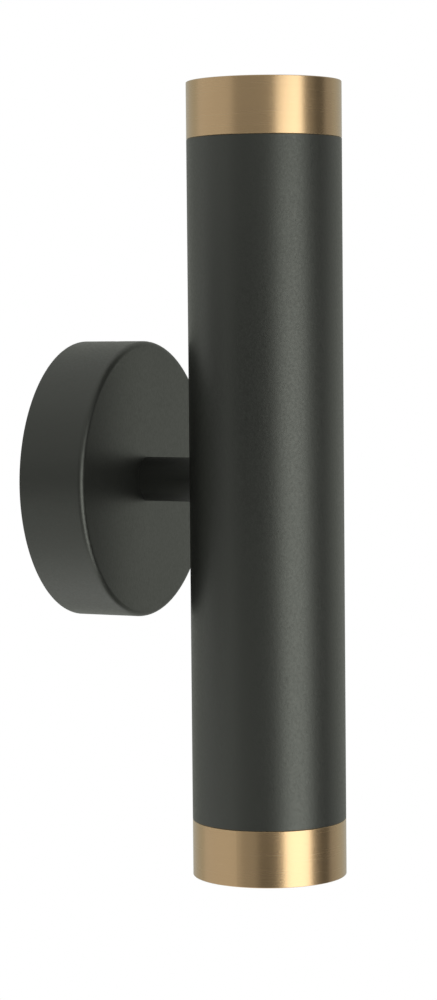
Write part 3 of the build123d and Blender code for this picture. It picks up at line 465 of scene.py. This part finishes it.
FINISHES = {
    "black_coat": make_black_coat("black_powder_coat", COAT_SHEEN),
    "black_screw": make_plastic(
        "blackened_screw",
        rgb(0.018, 0.018, 0.018),
        rgb(0.03, 0.03, 0.028),
        roughness=(0.3, 0.45),
        relief=0.01 * MM,
    ),
    "brass_finish": make_turned_brass(),
    "zinc_steel": make_metal(
        "zinc_plate",
        rgb(0.34, 0.35, 0.36),
        rgb(0.58, 0.59, 0.60),
        roughness=(0.26, 0.48),
        line_size=0.25 * MM,
    ),
    "contact_brass": make_metal(
        "plain_brass",
        rgb(0.62, 0.47, 0.22),
        rgb(0.74, 0.58, 0.30),
        roughness=(0.22, 0.36),
        line_size=0.2 * MM,
    ),
    "block_nylon": make_plastic(
        "natural_nylon",
        rgb(0.74, 0.73, 0.67),
        rgb(0.82, 0.81, 0.75),
        roughness=(0.35, 0.5),
        relief=0.02 * MM,
        Subsurface_Weight=0.15,
        Subsurface_Radius=(0.002, 0.002, 0.0016),
        Subsurface_Scale=1.0,
    ),
    "bush_plastic": make_plastic(
        "black_bush",
        rgb(0.03, 0.03, 0.03),
        rgb(0.05, 0.05, 0.05),
        roughness=(0.4, 0.55),
        relief=0.02 * MM,
    ),
    "earth_insulation": make_striped_sheath(),
    "live_insulation": make_plastic(
        "brown_sheath",
        rgb(0.13, 0.05, 0.022),
        rgb(0.18, 0.075, 0.035),
        roughness=(0.34, 0.48),
        relief=0.01 * MM,
    ),
    "neutral_insulation": make_plastic(
        "blue_sheath",
        rgb(0.02, 0.10, 0.36),
        rgb(0.035, 0.14, 0.45),
        roughness=(0.34, 0.48),
        relief=0.01 * MM,
    ),
    "holder_ceramic": make_plastic(
        "fired_ceramic",
        rgb(0.74, 0.71, 0.63),
        rgb(0.83, 0.81, 0.74),
        roughness=(0.55, 0.75),
        relief=0.05 * MM,
        grain_size=0.35 * MM,
    ),
    "lamp_shell": make_plastic(
        "white_lamp_shell",
        rgb(0.76, 0.76, 0.75),
        rgb(0.82, 0.82, 0.81),
        roughness=(0.36, 0.48),
        relief=0.02 * MM,
    ),
    "reflector_film": make_metal(
        "bright_bowl",
        rgb(0.84, 0.84, 0.85),
        rgb(0.90, 0.90, 0.91),
        roughness=(0.05, 0.11),
        line_size=0.5 * MM,
        relief=0.002 * MM,
    ),
    "chip_phosphor": make_plastic(
        "yellow_phosphor",
        rgb(0.80, 0.58, 0.08),
        rgb(0.86, 0.66, 0.14),
        roughness=(0.3, 0.5),
        relief=0.03 * MM,
        grain_size=0.25 * MM,
    ),
    "lamp_glass": make_cover_glass(),
    "pin_nickel": make_metal(
        "nickel_plate",
        rgb(0.60, 0.58, 0.54),
        rgb(0.72, 0.70, 0.66),
        roughness=(0.16, 0.28),
        line_size=0.2 * MM,
    ),
}


def dress_solids():
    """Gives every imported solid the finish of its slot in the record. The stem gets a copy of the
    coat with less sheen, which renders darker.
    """
    for subpart in frame["record"]["subparts"]:
        solid = frame["nodes"][subpart["node"]]
        solid.data.materials.clear()
        solid.data.materials.append(FINISHES[subpart["material_slot"]])
    stem = frame["nodes"]["stem_sleeve"]
    # Copy of the coat with less sheen, so that the stem renders darker than the tube
    stem.data.materials[0] = make_black_coat("dull_powder_coat", STEM_SHEEN)


def smooth_mesh(data, angle):
    """Shades a mesh smooth, apart from the edges that bend by more than the angle."""
    data.shade_smooth()
    data.set_sharp_from_angle(angle=math.radians(angle))


def turn_outline(name, outline, steps, side, sharp_angle=SHARP_ANGLE):
    """A piece turned from a closed outline of (radius, height) about the tube's axis.

    Heights count from the tube's middle towards the lamp's mouth; side is 1 upwards and -1
    downwards. Without a sharp angle the piece keeps flat faces.
    """
    mesh = bmesh.new()
    rings = []
    for radius, height in outline:
        if radius == 0:
            rings.append([mesh.verts.new(TUBE_CENTRE + Vector((0, 0, side * height)))] * steps)
            continue
        ring = []
        for step in range(steps):
            angle = math.tau * step / steps
            spoke = Vector((radius * math.cos(angle), radius * math.sin(angle), side * height))
            ring.append(mesh.verts.new(TUBE_CENTRE + spoke))
        rings.append(ring)
    for ring, following in zip(rings, rings[1:] + rings[:1]):
        for step in range(steps):
            after = (step + 1) % steps
            corners = [ring[step], ring[after], following[after], following[step]]
            face = list(dict.fromkeys(corners))
            if len(face) > 2:
                mesh.faces.new(face)
    bmesh.ops.recalc_face_normals(mesh, faces=mesh.faces)
    data = bpy.data.meshes.new(name)
    mesh.to_mesh(data)
    mesh.free()
    if sharp_angle:
        smooth_mesh(data, sharp_angle)
    piece = bpy.data.objects.new(name, data)
    bpy.context.scene.collection.objects.link(piece)
    return piece


def arc_points(start, end, bulge, count):
    """Points on a shallow curve from start to end that stands off the straight line by bulge."""
    start, end = Vector(start), Vector(end)
    along = end - start
    aside = Vector((along.y, -along.x)).normalized()
    points = []
    for i in range(count):
        share = i / (count - 1)
        points.append(tuple(start + along * share + aside * bulge * 4 * share * (1 - share)))
    return points


def height_span(node, side):
    """Lowest and highest place of a solid, from the tube's middle towards the lamp's mouth."""
    low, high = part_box(node)
    return sorted((side * (low.z - TUBE_CENTRE.z), side * (high.z - TUBE_CENTRE.z)))


def radius_of(node):
    """Half the width of a solid."""
    low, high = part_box(node)
    return (high.x - low.x) / 2


def fit_piece(piece, body, slot, *nodes):
    """Gives a piece its finish and its body, and hides the solids that it stands for."""
    piece.data.materials.append(FINISHES[slot])
    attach(piece, body)
    if nodes:
        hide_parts(*nodes)


def make_bowl(end, side):
    """Bright bowl pressed in flat facets, so that it breaks up the beam."""
    low, high = height_span(f"{end}_lamp_reflector", side)
    rim = radius_of(f"{end}_lamp_reflector") - BOWL_SHEET
    throat = radius_of(f"{end}_lamp_chip") + BOWL_SHEET
    inside = arc_points(
        (throat, low + BOWL_SHEET), (rim - BOWL_SHEET, high), BOWL_BULGE, BOWL_ROWS
    )
    outside = arc_points((rim, high), (throat, low), -BOWL_BULGE, BOWL_ROWS)
    bowl = turn_outline(
        f"{end}_lamp_bowl", inside + outside, BOWL_FACETS, side, sharp_angle=None
    )
    fit_piece(bowl, f"{end}_lamp", "reflector_film", f"{end}_lamp_reflector")


def make_light_source(end, side):
    """Round board with a dam and a low dome of phosphor."""
    low, high = height_span(f"{end}_lamp_chip", side)
    edge = radius_of(f"{end}_lamp_chip")
    top = low + (high - low) * BOARD_SHARE
    dam = PHOSPHOR_RADIUS + DAM_WIDTH
    dam_shoulder, dam_crest = top + 2 * BOARD_ROUND, top + 3 * BOARD_ROUND
    board_outline = [
        (0, low),
        (edge, low),
        (edge, top - BOARD_ROUND),
        (edge - BOARD_ROUND, top),
        (dam + BOARD_ROUND, top),
        (dam, dam_shoulder),
        (dam - DAM_WIDTH / 2, dam_crest),
        (PHOSPHOR_RADIUS, dam_shoulder),
        (PHOSPHOR_RADIUS, top),
        (0, top),
    ]
    board = turn_outline(f"{end}_chip_board", board_outline, CHIP_STEPS, side)
    fit_piece(board, f"{end}_lamp", "lamp_shell", f"{end}_lamp_chip")
    dome = arc_points(
        (PHOSPHOR_RADIUS, top + 1.5 * BOARD_ROUND),
        (0, high - BOARD_ROUND),
        PHOSPHOR_BULGE,
        PHOSPHOR_ROWS,
    )
    phosphor_outline = [(0, top), (PHOSPHOR_RADIUS, top)] + dome
    phosphor = turn_outline(f"{end}_chip_phosphor", phosphor_outline, CHIP_STEPS, side)
    fit_piece(phosphor, f"{end}_lamp", "chip_phosphor")


def make_cover(end, side):
    """Cover glass with shallow rings moulded in its inner face near the edge."""
    low, high = height_span(f"{end}_lamp_lens", side)
    edge = radius_of(f"{end}_lamp_lens")
    outline = [(0, low)]
    first = edge - GLASS_PLAIN_EDGE - GLASS_RINGS * GLASS_RING_PITCH
    for ring in range(GLASS_RINGS):
        start = first + ring * GLASS_RING_PITCH
        outline.append((start, low))
        outline.append((start + GLASS_RING_PITCH / 2, low + GLASS_RING_DEPTH))
    outline.append((first + GLASS_RINGS * GLASS_RING_PITCH, low))
    outline.append((edge, low))
    outline.append((edge, high - GLASS_EDGE_ROUND))
    outline.append((edge - GLASS_EDGE_CUT, high - GLASS_EDGE_CUT))
    outline.append((edge - GLASS_EDGE_ROUND, high))
    outline.append((0, high))
    cover = turn_outline(
        f"{end}_cover_glass", outline, GLASS_STEPS, side, sharp_angle=GLASS_SHARP_ANGLE
    )
    fit_piece(cover, f"{end}_lamp", "lamp_glass", f"{end}_lamp_lens")


def cut_screw_holes(cup):
    """Drills the holes for the canopy's screws, straight through from top to bottom."""
    low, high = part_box("canopy_screws")
    radius = radius_of("canopy_screws") + CANOPY_HOLE_FIT
    # Turned by half a step, so that no corner of the drill meets the cup's own corners
    half_step = Matrix.Rotation(math.pi / SCREW_HOLE_STEPS, 4, "Z")
    drill = bmesh.new()
    bmesh.ops.create_cone(
        drill,
        cap_ends=True,
        segments=SCREW_HOLE_STEPS,
        radius1=radius,
        radius2=radius,
        depth=2 * (high.z - low.z),
        matrix=Matrix.Translation((low + high) / 2) @ half_step,
    )
    data = bpy.data.meshes.new("screw_drill")
    drill.to_mesh(data)
    drill.free()
    tool = bpy.data.objects.new("screw_drill", data)
    bpy.context.scene.collection.objects.link(tool)
    cut = cup.modifiers.new("screw_holes", "BOOLEAN")
    cut.operation = "DIFFERENCE"
    cut.solver = "EXACT"
    cut.object = tool
    bpy.context.view_layer.update()
    with_holes = cup.evaluated_get(bpy.context.evaluated_depsgraph_get())
    drilled = bpy.data.meshes.new_from_object(with_holes)
    cup.modifiers.clear()
    cup.data = drilled
    bpy.data.objects.remove(tool)
    bpy.data.meshes.remove(data)


def make_canopy():
    """Spun cup, open to the wall, with a soft front edge and a hole for the thread."""
    low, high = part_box("canopy")
    edge = (high.x - low.x) / 2
    depth = high.y - low.y
    thread_hole = radius_of("threaded_nipple") + CANOPY_HOLE_FIT
    edge_start = edge - CANOPY_EDGE_RADIUS
    edge_depth = depth - CANOPY_EDGE_RADIUS
    outline = [(edge, 0), (edge, edge_depth - CANOPY_EDGE_LEAD)]
    for row in range(CANOPY_EDGE_ROWS + 1):
        turn = math.pi / 2 * row / CANOPY_EDGE_ROWS
        across, along = CANOPY_EDGE_RADIUS * math.cos(turn), CANOPY_EDGE_RADIUS * math.sin(turn)
        outline.append((edge_start + across, edge_depth + along))
    outline.append((edge_start - CANOPY_EDGE_LEAD, depth))
    outline.append((thread_hole, depth))
    outline.append((thread_hole, depth - CANOPY_WALL))
    outline.append((edge - CANOPY_WALL, depth - CANOPY_WALL))
    outline.append((edge - CANOPY_WALL, 0))
    cup = turn_outline("canopy_cup", outline, CANOPY_STEPS, 1)
    cup.data.transform(OUT_FROM_WALL @ Matrix.Translation(-TUBE_CENTRE))
    cut_screw_holes(cup)
    smooth_mesh(cup.data, SHARP_ANGLE)
    fit_piece(cup, "fixture", "black_coat", "canopy")


def view_axes():
    """The camera's right, up and back directions, before its roll."""
    azimuth, elevation = math.radians(VIEW_AZIMUTH), math.radians(VIEW_ELEVATION)
    level = math.cos(elevation)
    back = Vector((math.sin(azimuth) * level, -math.cos(azimuth) * level, math.sin(elevation)))
    right = Vector((0, 0, 1)).cross(back).normalized()
    return right, back.cross(right), back


def place_camera():
    """Camera at the photograph's place, with its focal length."""
    right, up, back = view_axes()
    aim = TUBE_CENTRE + right * VIEW_AIM_ACROSS + Vector((0, 0, VIEW_AIM_UP))
    data = bpy.data.cameras.new("photo_camera")
    data.sensor_width = SENSOR_MM
    data.lens = FOCAL_LENGTH_PIXELS / PICTURE_HEIGHT_PIXELS * SENSOR_MM
    camera = bpy.data.objects.new("photo_camera", data)
    bpy.context.scene.collection.objects.link(camera)
    roll = Matrix.Rotation(math.radians(VIEW_ROLL), 3, "Z")
    turn = Matrix((right, up, back)).transposed() @ roll
    camera.matrix_world = Matrix.Translation(aim + back * VIEW_DISTANCE) @ turn.to_4x4()
    bpy.context.scene.camera = camera


def studio_direction(angle):
    """Level direction from the tube, by its angle to the right of the camera's line."""
    right, _, back = view_axes()
    level_back = Vector((back.x, back.y, 0)).normalized()
    return level_back * math.cos(math.radians(angle)) + right * math.sin(math.radians(angle))


def place_soft_box(name, angle, distance, width, height, drop, lean, radiance):
    """Rectangular soft box that faces the tube, its top leaning towards the camera's line.

    Radiance 1 is as bright as white paper.
    """
    data = bpy.data.lights.new(name, "AREA")
    data.shape = "RECTANGLE"
    data.size = width
    data.size_y = height
    data.energy = radiance * math.pi * width * height
    lamp = bpy.data.objects.new(name, data)
    bpy.context.scene.collection.objects.link(lamp)
    towards = studio_direction(angle)
    lamp.location = TUBE_CENTRE + towards * distance + Vector((0, 0, -drop))
    upright = towards.to_track_quat("Z", "Y")
    lamp.rotation_euler = (upright @ Quaternion((0, 0, 1), math.radians(lean))).to_euler()
    lamp.visible_camera = False


def add_stage_mesh(name, corners, faces):
    """A mesh of the studio, which is no part of the light."""
    data = bpy.data.meshes.new(name)
    data.from_pydata(corners, [], faces)
    piece = bpy.data.objects.new(name, data)
    bpy.context.scene.collection.objects.link(piece)
    return piece


def glow_material(name, brightness, tint):
    """A plain glow, without shading."""
    material = bpy.data.materials.new(name)
    material.use_nodes = True
    tree = material.node_tree
    tree.nodes.clear()
    glow = add_node(tree, "ShaderNodeEmission", {"Color": tint, "Strength": brightness})
    output = add_node(tree, "ShaderNodeOutputMaterial")
    tree.links.new(glow.outputs[0], output.inputs["Surface"])
    return material


def show_in_reflections(screen, brightness):
    """Lets a screen glow for glossy rays only."""
    tint = SCREEN_TINT if screen.name in TINTED_SCREENS else WHITE
    screen.data.materials.append(glow_material(screen.name, brightness, tint))
    screen.visible_camera = False
    screen.visible_diffuse = False
    screen.visible_transmission = False
    screen.visible_volume_scatter = False
    screen.visible_shadow = False


def place_screen(name, start, end, distance, bottom, top, brightness):
    """Curved screen round the light that only shows in its reflections."""
    count = math.ceil((end - start) / SCREEN_STEP)
    corners, faces = [], []
    for i in range(count + 1):
        spot = TUBE_CENTRE + studio_direction(start + (end - start) * i / count) * distance
        corners.append(spot + Vector((0, 0, bottom)))
        corners.append(spot + Vector((0, 0, top)))
    for i in range(count):
        faces.append((2 * i, 2 * i + 2, 2 * i + 3, 2 * i + 1))
    show_in_reflections(add_stage_mesh(name, corners, faces), brightness)


def place_ceiling():
    """Ceiling screen, a little darker than the white room."""
    half = CEILING_SIZE / 2
    corners = [(-half, -half, 0), (-half, half, 0), (half, half, 0), (half, -half, 0)]
    ceiling = add_stage_mesh("screen_ceiling", corners, [(0, 1, 2, 3)])
    ceiling.location = TUBE_CENTRE + Vector((0, 0, CEILING_HEIGHT))
    show_in_reflections(ceiling, CEILING_TONE)


def seen_directly(tree):
    """1 for rays from the camera, from glossy surfaces and through glass, else 0."""
    path = add_node(tree, "ShaderNodeLightPath").outputs
    seen = calculate(tree, "MAXIMUM", path["Is Camera Ray"], path["Is Glossy Ray"])
    return calculate(tree, "MAXIMUM", seen, path["Is Transmission Ray"])


def make_floor_finish():
    """Pale floor that keeps the shadow under the light and turns to plain white further out."""
    material = bpy.data.materials.new("pale_floor")
    material.use_nodes = True
    tree = material.node_tree
    tree.nodes.clear()
    place = add_node(tree, "ShaderNodeTexCoord").outputs["Object"]
    reach = add_node(tree, "ShaderNodeVectorMath", {0: place}, operation="LENGTH").outputs["Value"]
    far = add_node(
        tree,
        "ShaderNodeMapRange",
        {
            "Value": reach,
            "From Min": FLOOR_SHADOW_INNER,
            "From Max": FLOOR_SHADOW_OUTER,
            "To Min": FLOOR_NEAR_WHITE,
        },
        interpolation_type="SMOOTHSTEP",
    ).outputs[0]
    clouds = add_node(tree, "ShaderNodeTexNoise", {"Vector": place, "Scale": FLOOR_CLOUD_SCALE})
    tone = mix_colours(tree, clouds.outputs[0], rgb(0.88, 0.88, 0.88), rgb(0.92, 0.92, 0.92))
    matt = add_node(tree, "ShaderNodeBsdfDiffuse", {"Color": tone})
    white = add_node(tree, "ShaderNodeEmission", {"Color": WHITE, "Strength": 1.0})
    plain = calculate(tree, "MULTIPLY", seen_directly(tree), far)
    top = add_node(tree, "ShaderNodeMixShader", {0: plain, 1: matt.outputs[0], 2: white.outputs[0]})
    below = add_node(tree, "ShaderNodeBsdfTransparent")
    backfacing = add_node(tree, "ShaderNodeNewGeometry").outputs["Backfacing"]
    sided = add_node(
        tree, "ShaderNodeMixShader", {0: backfacing, 1: top.outputs[0], 2: below.outputs[0]}
    )
    output = add_node(tree, "ShaderNodeOutputMaterial")
    tree.links.new(sided.outputs[0], output.inputs["Surface"])
    return material


def place_floor():
    """Pale floor below the light, left out of its reflections."""
    half = FLOOR_SIZE / 2
    corners = [(-half, -half, 0), (half, -half, 0), (half, half, 0), (-half, half, 0)]
    floor = add_stage_mesh("pale_floor", corners, [(0, 1, 2, 3)])
    floor.location = (TUBE_CENTRE.x, TUBE_CENTRE.y, cad_box[0].z - FLOOR_DROP)
    floor.data.materials.append(make_floor_finish())
    floor.visible_glossy = False


def light_room():
    """Even room light, with white where the room itself is seen."""
    world = bpy.data.worlds.new("studio")
    world.use_nodes = True
    tree = world.node_tree
    tree.nodes.clear()
    even = add_node(tree, "ShaderNodeBackground", {"Color": WHITE, "Strength": ROOM_LIGHT})
    white = add_node(tree, "ShaderNodeBackground", {"Color": WHITE, "Strength": 1.0})
    seen = seen_directly(tree)
    mixed = add_node(
        tree, "ShaderNodeMixShader", {0: seen, 1: even.outputs[0], 2: white.outputs[0]}
    )
    output = add_node(tree, "ShaderNodeOutputWorld")
    tree.links.new(mixed.outputs[0], output.inputs["Surface"])
    bpy.context.scene.world = world


dress_solids()
make_canopy()
for end_name, end_side in LAMP_ENDS.items():
    make_bowl(end_name, end_side)
    make_light_source(end_name, end_side)
    make_cover(end_name, end_side)
place_camera()
place_soft_box(
    "key_soft_box", KEY_ANGLE, KEY_DISTANCE, KEY_WIDTH, KEY_HEIGHT, KEY_DROP, KEY_LEAN, KEY_RADIANCE
)
for screen_name, screen_values in SCREENS.items():
    place_screen(screen_name, *screen_values)
place_ceiling()
place_floor()
light_room()
bpy.context.scene.view_settings.view_transform = "Standard"
